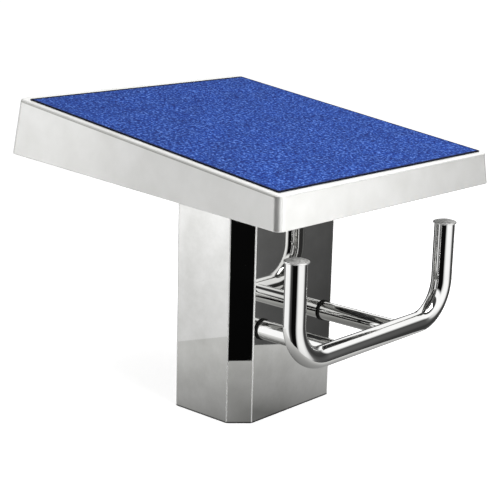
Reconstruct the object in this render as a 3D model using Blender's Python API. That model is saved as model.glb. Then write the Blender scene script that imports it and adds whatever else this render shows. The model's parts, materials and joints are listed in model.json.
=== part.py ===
"""Swimming pool starting block: a sloping platform on one folded steel column, with a backstroke grip.

Metres, +Z up. X runs across the block, the pool side is -Y, and the origin is the centre of the
foot, on the deck. The platform's own pieces are drawn in the plane of its slope and hang from an
empty, whose Y runs up the slope from the front edge and whose Z is square to the standing surface.
"""

import math

import bmesh
import bpy

# Gap left between pieces that touch or are bonded, and clearance round a fastener
GAP = 0.0003

# How far a hole's cutter runs past each face of what it cuts
CUT_OVERRUN = 0.002

# Standing surface: size along the slope, and where its front top edge lies
PLATFORM_WIDTH = 0.500
PLATFORM_LENGTH = 0.538
PLATFORM_SLOPE = math.radians(7.5)
FRONT_EDGE_Y = -0.2454
FRONT_EDGE_Z = 0.4024

# Moulded shell
SHELL_WALL = 0.004
SHELL_EDGE_RADIUS = 0.0035
SHELL_CORNER_RADIUS = 0.009
SKIRT_DEPTH_FRONT = 0.0443
SKIRT_DEPTH_REAR = 0.0842
SKIRT_FLARE_SIDE_FRONT = 0.0040
SKIRT_FLARE_SIDE_REAR = 0.0077
SKIRT_FLARE_FRONT = 0.0094
SKIRT_FLARE_REAR = 0.0005
SKIRT_RIM_RADIUS = 0.0015

# Anti-slip pad, proud of the shell
PAD_THICKNESS = 0.0015
PAD_BORDER_SIDE = 0.009
PAD_BORDER_FRONT = 0.010
PAD_BORDER_REAR = 0.0175
PAD_CORNER_RADIUS = 0.003
PAD_EDGE_BEVEL = 0.0005

# Stiffening panel bonded under the shell's top skin
CORE_THICKNESS = 0.015
CORE_MARGIN = 0.008
CORE_CORNER_RADIUS = 0.008

# Welded sub-frame of square tube
RAIL_SECTION = 0.025
RAIL_WALL = 0.002
RAIL_CORNER_RADIUS = 0.003
RAIL_OFFSET_X = 0.215
RAIL_MARGIN = 0.025
BEARER_WIDTH = 0.030
BEARER_SPACING = 0.170

# Head plate that joins the sub-frame to the column
HEAD_PLATE_WIDTH = 0.320
HEAD_PLATE_LENGTH = 0.210
HEAD_PLATE_THICKNESS = 0.008
HEAD_PLATE_RADIUS = 0.010
PLATFORM_BOLT_SPACING_X = 0.280

# Column of folded sheet, with its two front corners cut at 45 degrees
COLUMN_WIDTH = 0.240
COLUMN_DEPTH = 0.138
COLUMN_CHAMFER = 0.0274
COLUMN_WALL = 0.003
COLUMN_BEND_RADIUS = 0.0045
COLUMN_BEND_RADIUS_INSIDE = 0.0015

# Foot plate inside the column
BASE_THICKNESS = 0.010
ANCHOR_HOLE_RADIUS = 0.009
ANCHOR_SPACING_X = 0.160
ANCHOR_SPACING_Y = 0.070

# Access opening in the column's rear wall, and its cover
OPENING_WIDTH = 0.120
OPENING_HEIGHT = 0.180
OPENING_CENTRE_Z = 0.165
OPENING_RADIUS = 0.010
COVER_WIDTH = 0.150
COVER_HEIGHT = 0.210
COVER_THICKNESS = 0.002
COVER_RADIUS = 0.012
GASKET_THICKNESS = 0.0018
COVER_SCREW_SPACING_X = 0.135
COVER_SCREW_SPACING_Z = 0.176

# Backstroke grip of round tube
GRIP_TUBE_RADIUS = 0.016
GRIP_TUBE_WALL = 0.002
GRIP_BAR_Y = -0.2194
GRIP_BAR_Z = 0.1508
GRIP_SPREAD = 0.359
GRIP_BEND_RADIUS = 0.062
GRIP_TOP_Z = 0.3058
ARM_Z = 0.1475
ARM_SPREAD = 0.147
ARM_RADIUS = 0.0146
ARM_WALL = 0.002
COPE_GAP = 0.0007
CAP_LIP = 0.0022
CAP_LIP_HEIGHT = 0.0022
CAP_CROWN = 0.0036
CAP_SPIGOT_LENGTH = 0.012
CAP_CROWN_SHARES = (0.94, 0.75, 0.50, 0.22)
RING_RADIUS = 0.0165
RING_BORE = 0.0100
RING_THICKNESS = 0.0025
PLUG_LENGTH = 0.014
BACKING_WIDTH = 0.180
BACKING_HEIGHT = 0.060
BACKING_THICKNESS = 0.005
BACKING_CORNER_RADIUS = 0.006

# Fasteners: shank radius, half the spanner size, head height
M12 = (0.006, 0.0095, 0.0075)
M8 = (0.004, 0.0065, 0.0053)
M5 = (0.0025, 0.0048, 0.0036)
M12_WASHER_RADIUS = 0.012
M12_WASHER_THICKNESS = 0.0025
BOLT_CHAMFER = 0.0006
THREAD_END_CLEARANCE = 0.002
PLATFORM_BOLT_LENGTH = 0.030
SHELL_BOLT_INSET = 0.090
SHELL_BOLT_FLANGE_RADIUS = 0.009
BOLT_FLANGE_THICKNESS = 0.0015
BOSS_RADIUS = 0.010
INSERT_RADIUS = 0.007
INSERT_LENGTH = 0.0115
RIVET_NUT_RADIUS = 0.0035
RIVET_NUT_FLANGE_RADIUS = 0.0055
RIVET_NUT_FLANGE = 0.0008
RIVET_NUT_LENGTH = 0.0115
RIVET_NUT_COLLAR_RADIUS = 0.005
RIVET_NUT_COLLAR_HEIGHT = 0.0015
COVER_SCREW_LENGTH = 0.011
SCREW_SOCKET_HALF_WIDTH = 0.0016

# A domed screw head from its seat up: shares of the head's radius and height
SCREW_DOME = ((1.0, 0.0), (1.0, 0.45), (0.86, 0.80), (0.60, 1.0))
SCREW_SOCKET_FLOOR = 0.35

# Facets
TUBE_SIDES = 32
HOLE_SIDES = 12
BEND_STEPS = 9
CORNER_STEPS = 6
PLATE_CORNER_STEPS = 4
SMALL_CORNER_STEPS = 3
EDGE_STEPS = 4
SMOOTH_ANGLE = math.radians(32.0)

# Levels on the platform's own Z, from the top down
SKIN_TOP = SHELL_EDGE_RADIUS
SKIN_UNDERSIDE = SKIN_TOP - SHELL_WALL
CORE_TOP = SKIN_UNDERSIDE - GAP
CORE_UNDERSIDE = CORE_TOP - CORE_THICKNESS
FRAME_TOP = CORE_UNDERSIDE - GAP
FRAME_UNDERSIDE = FRAME_TOP - RAIL_SECTION
HEAD_TOP = FRAME_UNDERSIDE - GAP
HEAD_UNDERSIDE = HEAD_TOP - HEAD_PLATE_THICKNESS
COLUMN_TOP = HEAD_UNDERSIDE - GAP

# Where the platform's own axes meet the column: slope distance of the column's axis at head height
HEAD_CENTRE = (-FRONT_EDGE_Y + HEAD_UNDERSIDE * math.sin(PLATFORM_SLOPE)) / math.cos(PLATFORM_SLOPE)

COLUMN_FRONT_Y = -COLUMN_DEPTH / 2
COLUMN_REAR_Y = COLUMN_DEPTH / 2

MATERIALS = {
    "white_moulding": ((0.80, 0.80, 0.77), 0.28, 0.0),
    "blue_grit": ((0.032, 0.085, 0.40), 0.85, 0.0),
    "laminate": ((0.030, 0.030, 0.032), 0.55, 0.0),
    "satin_steel": ((0.55, 0.55, 0.54), 0.38, 1.0),
    "polished_steel": ((0.66, 0.66, 0.65), 0.10, 1.0),
    "zinc_steel": ((0.50, 0.51, 0.52), 0.35, 1.0),
    "black_rubber": ((0.02, 0.02, 0.02), 0.65, 0.0),
}


def clear_scene():
    for old in list(bpy.data.objects):
        bpy.data.objects.remove(old, do_unlink=True)


def material(name):
    """The named finish, made once."""
    found = bpy.data.materials.get(name)
    if found:
        return found
    colour, roughness, metallic = MATERIALS[name]
    made = bpy.data.materials.new(name)
    made.use_nodes = True
    shader = made.node_tree.nodes["Principled BSDF"]
    shader.inputs["Base Color"].default_value = (*colour, 1.0)
    shader.inputs["Roughness"].default_value = roughness
    shader.inputs["Metallic"].default_value = metallic
    return made


def empty(name, location, slope=0.0):
    made = bpy.data.objects.new(name, None)
    bpy.context.scene.collection.objects.link(made)
    made.location = location
    made.rotation_euler.x = slope
    return made


def lofted(name, rings, finish, parent=None, closed=False):
    """A solid skinned over rings of equally many points, capped at both ends or closed on itself."""
    shape = bmesh.new()
    rows = [[shape.verts.new(point) for point in ring] for ring in rings]
    count = len(rings[0])
    pairs = list(zip(rows, rows[1:]))
    if closed:
        pairs.append((rows[-1], rows[0]))
    else:
        shape.faces.new(rows[0])
        shape.faces.new(rows[-1])
    for low, high in pairs:
        for i in range(count):
            j = (i + 1) % count
            shape.faces.new((low[i], low[j], high[j], high[i]))
    bmesh.ops.recalc_face_normals(shape, faces=shape.faces)
    mesh = bpy.data.meshes.new(name)
    shape.to_mesh(mesh)
    shape.free()
    mesh.shade_smooth()
    mesh.set_sharp_from_angle(angle=SMOOTH_ANGLE)
    mesh.materials.append(material(finish))
    made = bpy.data.objects.new(name, mesh)
    bpy.context.scene.collection.objects.link(made)
    made.parent = parent
    return made


def cut(target, cutter):
    """Take the cutter's shape out of the target."""
    cutter.hide_render = True
    cutter.display_type = "WIRE"
    modifier = target.modifiers.new(cutter.name, "BOOLEAN")
    modifier.operation = "DIFFERENCE"
    modifier.solver = "EXACT"
    modifier.object = cutter


def at_height(outline, z):
    return [(x, y, z) for x, y in outline]


def filleted(corners, radius, steps=CORNER_STEPS):
    """A counter-clockwise outline with each corner turned on the same radius."""
    outline = []
    for i, (x, y) in enumerate(corners):
        before = corners[i - 1]
        after = corners[(i + 1) % len(corners)]
        heading_in = math.atan2(y - before[1], x - before[0])
        heading_out = math.atan2(after[1] - y, after[0] - x)
        turn = (heading_out - heading_in) % math.tau
        back = radius * math.tan(turn / 2)
        start = (x - back * math.cos(heading_in), y - back * math.sin(heading_in))
        centre = (start[0] - radius * math.sin(heading_in), start[1] + radius * math.cos(heading_in))
        for step in range(steps + 1):
            angle = heading_in - math.pi / 2 + turn * step / steps
            outline.append((centre[0] + radius * math.cos(angle), centre[1] + radius * math.sin(angle)))
    return outline


def rectangle(left, right, front, rear, radius, steps=CORNER_STEPS):
    corners = ((left, front), (right, front), (right, rear), (left, rear))
    return filleted(corners, radius, steps)


def circle(radius, z, sides, centre=(0.0, 0.0)):
    return [
        (
            centre[0] + radius * math.cos(math.tau * i / sides),
            centre[1] + radius * math.sin(math.tau * i / sides),
            z,
        )
        for i in range(sides)
    ]


def hexagon(half_width, z, sides=HOLE_SIDES):
    """A hexagon across its flats, with as many points as a circle of the same sides."""
    ring = []
    for i in range(sides):
        angle = math.tau * i / sides
        off_flat = (angle + math.pi / 6) % (math.pi / 3) - math.pi / 6
        radius = half_width / math.cos(off_flat)
        ring.append((radius * math.cos(angle), radius * math.sin(angle), z))
    return ring


def plate(name, outline, bottom, top, finish, parent=None):
    return lofted(name, [at_height(outline, bottom), at_height(outline, top)], finish, parent)


def round_cutter(name, radius, bottom, top, centre=(0.0, 0.0), parent=None):
    rings = [circle(radius, bottom, HOLE_SIDES, centre), circle(radius, top, HOLE_SIDES, centre)]
    return lofted(name, rings, "satin_steel", parent)


def turned(name, profile, finish, parent=None, sides=HOLE_SIDES, bored=False):
    """A round piece on its own Z, from (radius, height) pairs. A bored one closes on itself."""
    rings = [circle(radius, z, sides) for radius, z in profile]
    return lofted(name, rings, finish, parent, closed=bored)


def stand(made, location, towards):
    """Stand a piece drawn on its own Z at a place, with that Z towards '+Y', '-Y' or '+Z'."""
    turns = {"+Z": 0.0, "+Y": -math.pi / 2, "-Y": math.pi / 2}
    made.location = location
    made.rotation_euler.x = turns[towards]
    return made


def hex_bolt(name, size, length, parent=None, flange=0.0):
    """A bolt on its own Z: the head below zero, under a washer face, and the shank above it."""
    shank, half_width, height = size
    chamfer = BOLT_CHAMFER
    rings = [
        circle(half_width - chamfer, -height, HOLE_SIDES),
        hexagon(half_width, -height + chamfer),
    ]
    if flange:
        rings.append(hexagon(half_width, -BOLT_FLANGE_THICKNESS))
        rings.append(circle(flange, -BOLT_FLANGE_THICKNESS, HOLE_SIDES))
        rings.append(circle(flange, 0.0, HOLE_SIDES))
    else:
        rings.append(hexagon(half_width, 0.0))
    rings.append(circle(shank, 0.0, HOLE_SIDES))
    rings.append(circle(shank, length - chamfer, HOLE_SIDES))
    rings.append(circle(shank - chamfer, length, HOLE_SIDES))
    return lofted(name, rings, "zinc_steel", parent)


def four_corners(spacing_x, spacing_y):
    """The corners of a bolt pattern, numbered from the front left, counter-clockwise."""
    half_x = spacing_x / 2
    half_y = spacing_y / 2
    return ((-half_x, -half_y), (half_x, -half_y), (half_x, half_y), (-half_x, half_y))


def skirt_depth(along):
    """How far the skirt's rim lies below the edge line at a distance up the slope."""
    run = PLATFORM_LENGTH + SKIRT_FLARE_FRONT + SKIRT_FLARE_REAR
    share = (along + SKIRT_FLARE_FRONT) / run
    return SKIRT_DEPTH_FRONT + share * (SKIRT_DEPTH_REAR - SKIRT_DEPTH_FRONT)


def shell_outline(inset, flare=0.0):
    """The shell's plan, drawn in by an inset and pushed out by a share of the skirt's flare."""
    half = PLATFORM_WIDTH / 2 - inset
    half_front = half + flare * SKIRT_FLARE_SIDE_FRONT
    half_rear = half + flare * SKIRT_FLARE_SIDE_REAR
    front = inset - flare * SKIRT_FLARE_FRONT
    rear = PLATFORM_LENGTH - inset + flare * SKIRT_FLARE_REAR
    corners = ((-half_front, front), (half_front, front), (half_rear, rear), (-half_rear, rear))
    return filleted(corners, SHELL_CORNER_RADIUS - inset)


def rim_ring(inset, lift):
    """A ring of the skirt's sloping rim, at a height above the rim itself."""
    return [(x, y, lift - skirt_depth(y)) for x, y in shell_outline(inset, 1.0)]


def platform_shell(slope):
    """White moulding: skinned from its ceiling down the inside, round the rim, and up over the edge."""
    rings = [
        at_height(shell_outline(SHELL_WALL), SKIN_UNDERSIDE),
        rim_ring(SHELL_WALL, 0.0),
        rim_ring(SKIRT_RIM_RADIUS, 0.0),
        rim_ring(0.0, SKIRT_RIM_RADIUS),
    ]
    for step in range(EDGE_STEPS + 1):
        angle = math.pi / 2 * step / EDGE_STEPS
        inset = SHELL_EDGE_RADIUS * (1 - math.cos(angle))
        rings.append(at_height(shell_outline(inset), SHELL_EDGE_RADIUS * math.sin(angle)))
    return lofted("platform_shell", rings, "white_moulding", slope)


def antislip_pad(slope):
    """Blue gritted sheet bonded on the shell's top."""
    half = PLATFORM_WIDTH / 2 - PAD_BORDER_SIDE
    rear = PLATFORM_LENGTH - PAD_BORDER_REAR
    bottom = SKIN_TOP + GAP
    top = bottom + PAD_THICKNESS
    full = rectangle(-half, half, PAD_BORDER_FRONT, rear, PAD_CORNER_RADIUS, PLATE_CORNER_STEPS)
    drawn = rectangle(
        PAD_EDGE_BEVEL - half,
        half - PAD_EDGE_BEVEL,
        PAD_BORDER_FRONT + PAD_EDGE_BEVEL,
        rear - PAD_EDGE_BEVEL,
        PAD_CORNER_RADIUS - PAD_EDGE_BEVEL,
        PLATE_CORNER_STEPS,
    )
    rings = [at_height(full, bottom), at_height(full, top - PAD_EDGE_BEVEL), at_height(drawn, top)]
    return lofted("antislip_pad", rings, "blue_grit", slope)


def shell_bolt_places():
    """Where the shell's fixings go through the side rails: near the front and near the rear."""
    rear = PLATFORM_LENGTH - SHELL_BOLT_INSET
    return (
        (-RAIL_OFFSET_X, SHELL_BOLT_INSET),
        (RAIL_OFFSET_X, SHELL_BOLT_INSET),
        (RAIL_OFFSET_X, rear),
        (-RAIL_OFFSET_X, rear),
    )


def core_panel(slope):
    """Panel under the top skin, with a blind pocket for each threaded insert."""
    half = PLATFORM_WIDTH / 2 - CORE_MARGIN
    rear = PLATFORM_LENGTH - CORE_MARGIN
    outline = rectangle(-half, half, CORE_MARGIN, rear, CORE_CORNER_RADIUS, PLATE_CORNER_STEPS)
    panel = plate("core_panel", outline, CORE_UNDERSIDE, CORE_TOP, "laminate", slope)
    pocket_top = CORE_UNDERSIDE + INSERT_LENGTH + GAP
    for number, place in enumerate(shell_bolt_places(), 1):
        name = f"core_pocket_{number}"
        bottom = CORE_UNDERSIDE - SHELL_WALL
        cut(panel, round_cutter(name, INSERT_RADIUS + GAP, bottom, pocket_top, place, slope))
    return panel


def square_tube(name, width, length, slope, lengthwise):
    """A length of tube under the core panel, along the slope or across it, about its own centre."""
    half_height = RAIL_SECTION / 2
    half_width = width / 2
    rings = []
    for inset, end in ((0.0, -0.5), (0.0, 0.5), (RAIL_WALL, 0.5), (RAIL_WALL, -0.5)):
        section = rectangle(
            inset - half_width,
            half_width - inset,
            inset - half_height,
            half_height - inset,
            RAIL_CORNER_RADIUS - inset,
            SMALL_CORNER_STEPS,
        )
        if lengthwise:
            rings.append([(a, end * length, b) for a, b in section])
        else:
            rings.append([(end * length, a, b) for a, b in section])
    return lofted(name, rings, "satin_steel", slope, closed=True)


def bearer_places():
    """Slope distances of the two bearers, set about the column."""
    return HEAD_CENTRE - BEARER_SPACING / 2, HEAD_CENTRE + BEARER_SPACING / 2


def sub_frame(slope):
    """Four perimeter rails and two bearers, in one level under the core panel."""
    level = (FRAME_TOP + FRAME_UNDERSIDE) / 2
    side_length = PLATFORM_LENGTH - 2 * RAIL_MARGIN
    cross_length = 2 * RAIL_OFFSET_X - RAIL_SECTION - 2 * GAP
    for name, side in (("frame_rail_left", -1), ("frame_rail_right", 1)):
        rail = square_tube(name, RAIL_SECTION, side_length, slope, lengthwise=True)
        rail.location = (side * RAIL_OFFSET_X, PLATFORM_LENGTH / 2, level)
        for number, (x, along) in enumerate(shell_bolt_places(), 1):
            if x * side > 0:
                hole_name = f"{name}_hole_{number}"
                bottom = FRAME_UNDERSIDE - RAIL_WALL
                top = FRAME_TOP + RAIL_WALL
                cut(rail, round_cutter(hole_name, M8[0] + GAP, bottom, top, (x, along), slope))
    first = RAIL_MARGIN + RAIL_SECTION / 2
    for name, along in (("frame_rail_front", first), ("frame_rail_rear", PLATFORM_LENGTH - first)):
        rail = square_tube(name, RAIL_SECTION, cross_length, slope, lengthwise=False)
        rail.location = (0.0, along, level)
    for name, along in zip(("cross_bearer_front", "cross_bearer_rear"), bearer_places()):
        bearer = square_tube(name, BEARER_WIDTH, cross_length, slope, lengthwise=False)
        bearer.location = (0.0, along, level)
        for word, side in (("left", -1), ("right", 1)):
            centre = (side * PLATFORM_BOLT_SPACING_X / 2, along)
            bottom = FRAME_UNDERSIDE - RAIL_WALL
            top = FRAME_TOP + RAIL_WALL
            cut(bearer, round_cutter(f"{name}_{word}_hole", BOSS_RADIUS + GAP, bottom, top, centre, slope))


def platform_bolt_places():
    return [(x, HEAD_CENTRE + y) for x, y in four_corners(PLATFORM_BOLT_SPACING_X, BEARER_SPACING)]


def head_plate(slope):
    """Thick plate welded across the column's sloping top, drilled for the platform's bolts."""
    half_x = HEAD_PLATE_WIDTH / 2
    half_y = HEAD_PLATE_LENGTH / 2
    front = HEAD_CENTRE - half_y
    rear = HEAD_CENTRE + half_y
    outline = rectangle(-half_x, half_x, front, rear, HEAD_PLATE_RADIUS, PLATE_CORNER_STEPS)
    made = plate("head_plate", outline, HEAD_UNDERSIDE, HEAD_TOP, "satin_steel", slope)
    for number, place in enumerate(platform_bolt_places(), 1):
        bottom = HEAD_UNDERSIDE - HEAD_PLATE_THICKNESS
        top = HEAD_TOP + HEAD_PLATE_THICKNESS
        cut(made, round_cutter(f"head_hole_{number}", M12[0] + 2 * GAP, bottom, top, place, slope))
    return made


def platform_fasteners(slope):
    """Four bolts up through the head plate into bosses in the bearers, and four that hold the shell."""
    washer_top = HEAD_UNDERSIDE - GAP
    washer_bottom = washer_top - M12_WASHER_THICKNESS
    head_seat = washer_bottom - GAP
    for number, (x, y) in enumerate(platform_bolt_places(), 1):
        profile = (
            (BOSS_RADIUS, FRAME_UNDERSIDE),
            (BOSS_RADIUS, FRAME_TOP),
            (M12[0] + GAP, FRAME_TOP),
            (M12[0] + GAP, FRAME_UNDERSIDE),
        )
        boss = turned(f"bearer_boss_{number}", profile, "satin_steel", slope, bored=True)
        boss.location = (x, y, 0.0)
        profile = (
            (M12_WASHER_RADIUS, washer_bottom),
            (M12_WASHER_RADIUS, washer_top),
            (M12[0] + GAP, washer_top),
            (M12[0] + GAP, washer_bottom),
        )
        washer = turned(f"platform_washer_{number}", profile, "zinc_steel", slope, bored=True)
        washer.location = (x, y, 0.0)
        bolt = hex_bolt(f"platform_bolt_{number}", M12, PLATFORM_BOLT_LENGTH, slope)
        bolt.location = (x, y, head_seat)
    insert_end = CORE_UNDERSIDE + INSERT_LENGTH
    shell_bolt_length = insert_end - THREAD_END_CLEARANCE - FRAME_UNDERSIDE
    for number, (x, y) in enumerate(shell_bolt_places(), 1):
        profile = (
            (INSERT_RADIUS, CORE_UNDERSIDE),
            (INSERT_RADIUS, insert_end),
            (M8[0] + GAP, insert_end),
            (M8[0] + GAP, CORE_UNDERSIDE),
        )
        insert = turned(f"core_insert_{number}", profile, "zinc_steel", slope, bored=True)
        insert.location = (x, y, 0.0)
        bolt = hex_bolt(f"shell_bolt_{number}", M8, shell_bolt_length, slope, SHELL_BOLT_FLANGE_RADIUS)
        bolt.location = (x, y, FRAME_UNDERSIDE - GAP)


def column_corners(inset):
    """The column's plan, counter-clockwise from the front left, drawn in by an inset."""
    half_x = COLUMN_WIDTH / 2 - inset
    half_y = COLUMN_DEPTH / 2 - inset
    chamfer = COLUMN_CHAMFER - inset * (2 - math.sqrt(2))
    return (
        (chamfer - half_x, -half_y),
        (half_x - chamfer, -half_y),
        (half_x, chamfer - half_y),
        (half_x, half_y),
        (-half_x, half_y),
        (-half_x, chamfer - half_y),
    )


def column_outline(inset):
    radius = max(COLUMN_BEND_RADIUS - inset, COLUMN_BEND_RADIUS_INSIDE)
    return filleted(column_corners(inset), radius, SMALL_CORNER_STEPS)


def head_height(y):
    """World height of the plane just under the head plate."""
    rise = (y - FRONT_EDGE_Y) * math.tan(PLATFORM_SLOPE)
    return FRONT_EDGE_Z + rise + COLUMN_TOP / math.cos(PLATFORM_SLOPE)


def on_rear_wall(name, width, height, radius, near, far, finish):
    """A plate that lies flat against the rear wall, centred on the access opening."""
    half_x = width / 2
    half_z = height / 2
    outline = rectangle(-half_x, half_x, -half_z, half_z, radius, PLATE_CORNER_STEPS)
    rings = [[(x, y, OPENING_CENTRE_Z + z) for x, z in outline] for y in (near, far)]
    return lofted(name, rings, finish)


def cover_screw_places():
    return [(x, OPENING_CENTRE_Z + z) for x, z in four_corners(COVER_SCREW_SPACING_X, COVER_SCREW_SPACING_Z)]


def holes_along_y(target, places, radius, near, far):
    """Round holes through a target at (x, z) places, from just before its near face to past its far one."""
    for number, (x, z) in enumerate(places, 1):
        name = f"{target.name}_hole_{number}"
        cutter = round_cutter(name, radius, -CUT_OVERRUN, far - near + CUT_OVERRUN)
        cut(target, stand(cutter, (x, near, z), "+Y"))


def grip_bolt_places():
    return ((-ARM_SPREAD / 2, ARM_Z), (ARM_SPREAD / 2, ARM_Z))


def column_shell():
    """Folded sheet, open at the foot and at its sloping top, with the rear access opening."""
    outer = column_outline(0.0)
    inner = column_outline(COLUMN_WALL)
    rings = [
        at_height(inner, 0.0),
        at_height(outer, 0.0),
        [(x, y, head_height(y)) for x, y in outer],
        [(x, y, head_height(y)) for x, y in inner],
    ]
    column = lofted("column_shell", rings, "polished_steel", closed=True)
    reach = 2 * COLUMN_WALL
    window = on_rear_wall(
        "access_opening",
        OPENING_WIDTH,
        OPENING_HEIGHT,
        OPENING_RADIUS,
        COLUMN_REAR_Y - reach,
        COLUMN_REAR_Y + reach,
        "satin_steel",
    )
    cut(column, window)
    front_inside = COLUMN_FRONT_Y + COLUMN_WALL
    rear_inside = COLUMN_REAR_Y - COLUMN_WALL
    holes_along_y(column, grip_bolt_places(), M12[0] + GAP, COLUMN_FRONT_Y, front_inside)
    holes_along_y(column, cover_screw_places(), RIVET_NUT_RADIUS + GAP, rear_inside, COLUMN_REAR_Y)
    return column


def base_plate():
    """Foot plate welded inside the column, drilled for the deck anchors."""
    outline = column_outline(COLUMN_WALL + GAP)
    made = plate("base_plate", outline, 0.0, BASE_THICKNESS, "satin_steel")
    reach = BASE_THICKNESS
    for number, place in enumerate(four_corners(ANCHOR_SPACING_X, ANCHOR_SPACING_Y), 1):
        name = f"anchor_hole_{number}"
        cut(made, round_cutter(name, ANCHOR_HOLE_RADIUS, -reach, BASE_THICKNESS + reach, place))
    return made


def access_cover():
    """Cover, its gasket, and the screws and rivet nuts that hold it to the rear wall."""
    gasket_near = COLUMN_REAR_Y + GAP
    gasket_far = gasket_near + GASKET_THICKNESS
    cover_near = gasket_far + GAP
    cover_far = cover_near + COVER_THICKNESS
    size = (COVER_WIDTH, COVER_HEIGHT, COVER_RADIUS)
    gasket = on_rear_wall("cover_gasket", *size, gasket_near, gasket_far, "black_rubber")
    window = on_rear_wall(
        "gasket_window",
        OPENING_WIDTH,
        OPENING_HEIGHT,
        OPENING_RADIUS,
        gasket_near - GASKET_THICKNESS,
        gasket_far + GASKET_THICKNESS,
        "black_rubber",
    )
    cut(gasket, window)
    places = cover_screw_places()
    holes_along_y(gasket, places, RIVET_NUT_FLANGE_RADIUS + GAP, gasket_near, gasket_far)
    cover = on_rear_wall("access_cover", *size, cover_near, cover_far, "satin_steel")
    holes_along_y(cover, places, M5[0] + GAP, cover_near, cover_far)
    for number, (x, z) in enumerate(places, 1):
        nut = rivet_nut(f"rivet_nut_{number}")
        stand(nut, (x, COLUMN_REAR_Y, z), "+Y")
        screw = cover_screw(f"cover_screw_{number}")
        stand(screw, (x, cover_far + GAP, z), "+Y")


def rivet_nut(name):
    """Set in the wall: its flange outside, its swollen collar and threaded end inside."""
    bore = M5[0] + GAP
    collar = -COLUMN_WALL - GAP
    collar_end = collar - RIVET_NUT_COLLAR_HEIGHT
    profile = (
        (RIVET_NUT_RADIUS, GAP),
        (RIVET_NUT_FLANGE_RADIUS, GAP),
        (RIVET_NUT_FLANGE_RADIUS, GAP + RIVET_NUT_FLANGE),
        (bore, GAP + RIVET_NUT_FLANGE),
        (bore, -RIVET_NUT_LENGTH),
        (RIVET_NUT_RADIUS, -RIVET_NUT_LENGTH),
        (RIVET_NUT_RADIUS, collar_end - RIVET_NUT_COLLAR_HEIGHT),
        (RIVET_NUT_COLLAR_RADIUS, collar_end),
        (RIVET_NUT_COLLAR_RADIUS, collar),
        (RIVET_NUT_RADIUS, collar),
    )
    return turned(name, profile, "zinc_steel", bored=True)


def cover_screw(name):
    """Domed socket screw: its head above zero, its shank below."""
    shank, head, height = M5
    rings = [circle(shank, -COVER_SCREW_LENGTH, HOLE_SIDES), circle(shank, 0.0, HOLE_SIDES)]
    for out, up in SCREW_DOME:
        rings.append(circle(head * out, height * up, HOLE_SIDES))
    rings.append(hexagon(SCREW_SOCKET_HALF_WIDTH, height))
    rings.append(hexagon(SCREW_SOCKET_HALF_WIDTH, height * SCREW_SOCKET_FLOOR))
    return lofted(name, rings, "zinc_steel")


def grip_path():
    """The bar's centre line in its own upright plane, as (x, z) and heading, from the left top round."""
    half = GRIP_SPREAD / 2
    bend = GRIP_BEND_RADIUS
    top = GRIP_TOP_Z - CAP_CROWN - CAP_LIP_HEIGHT - GAP
    path = [(-half, top, -math.pi / 2)]
    for side, start in ((-1, math.pi), (1, 1.5 * math.pi)):
        for step in range(BEND_STEPS + 1):
            angle = start + math.pi / 2 * step / BEND_STEPS
            x = side * (half - bend) + bend * math.cos(angle)
            z = GRIP_BAR_Z + bend + bend * math.sin(angle)
            path.append((x, z, angle + math.pi / 2))
    path.append((half, top, math.pi / 2))
    return path


def grip_bar():
    """One length of tube bent into a wide U, open at its two upturned ends."""

    def ring(place, radius):
        x, z, heading = place
        out_x = math.sin(heading)
        out_z = -math.cos(heading)
        points = []
        for i in range(TUBE_SIDES):
            angle = math.tau * i / TUBE_SIDES
            out = radius * math.cos(angle)
            y = GRIP_BAR_Y + radius * math.sin(angle)
            points.append((x + out * out_x, y, z + out * out_z))
        return points

    path = grip_path()
    rings = [ring(place, GRIP_TUBE_RADIUS) for place in path]
    rings += [ring(place, GRIP_TUBE_RADIUS - GRIP_TUBE_WALL) for place in reversed(path)]
    return lofted("grip_bar", rings, "polished_steel", closed=True)


def cope(z):
    """Where an arm's end stops at a height: round the bar, or under it."""
    reach = GRIP_TUBE_RADIUS + COPE_GAP
    return GRIP_BAR_Y + math.sqrt(max(reach**2 - (z - GRIP_BAR_Z) ** 2, 0.0))


def grip_arm(name, x):
    """Straight tube from the column's face, its far end coped to lie round the bar."""
    root = COLUMN_FRONT_Y - RING_THICKNESS - 2 * GAP

    def ring(radius, coped):
        points = []
        for i in range(TUBE_SIDES):
            angle = math.tau * i / TUBE_SIDES
            z = ARM_Z + radius * math.sin(angle)
            y = cope(z) if coped else root
            points.append((x + radius * math.cos(angle), y, z))
        return points

    bore = ARM_RADIUS - ARM_WALL
    rings = [ring(ARM_RADIUS, False), ring(ARM_RADIUS, True), ring(bore, True), ring(bore, False)]
    return lofted(name, rings, "polished_steel", closed=True)


def end_cap(name, x):
    """Push-in cap: a slightly crowned lipped disc, with a spigot inside the tube."""
    rim = GRIP_TOP_Z - CAP_CROWN
    seat = rim - CAP_LIP_HEIGHT
    lip = GRIP_TUBE_RADIUS + CAP_LIP
    spigot = GRIP_TUBE_RADIUS - GRIP_TUBE_WALL - GAP
    chamfer = BOLT_CHAMFER
    profile = [
        (spigot - chamfer, seat - CAP_SPIGOT_LENGTH),
        (spigot, seat - CAP_SPIGOT_LENGTH + chamfer),
        (spigot, seat),
        (lip - chamfer / 2, seat),
        (lip, seat + chamfer / 2),
        (lip, rim - chamfer),
    ]
    for share in CAP_CROWN_SHARES:
        profile.append((lip * share, rim + CAP_CROWN * (1 - share**2)))
    cap = turned(name, profile, "satin_steel", sides=TUBE_SIDES)
    cap.location = (x, GRIP_BAR_Y, 0.0)
    return cap


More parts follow.
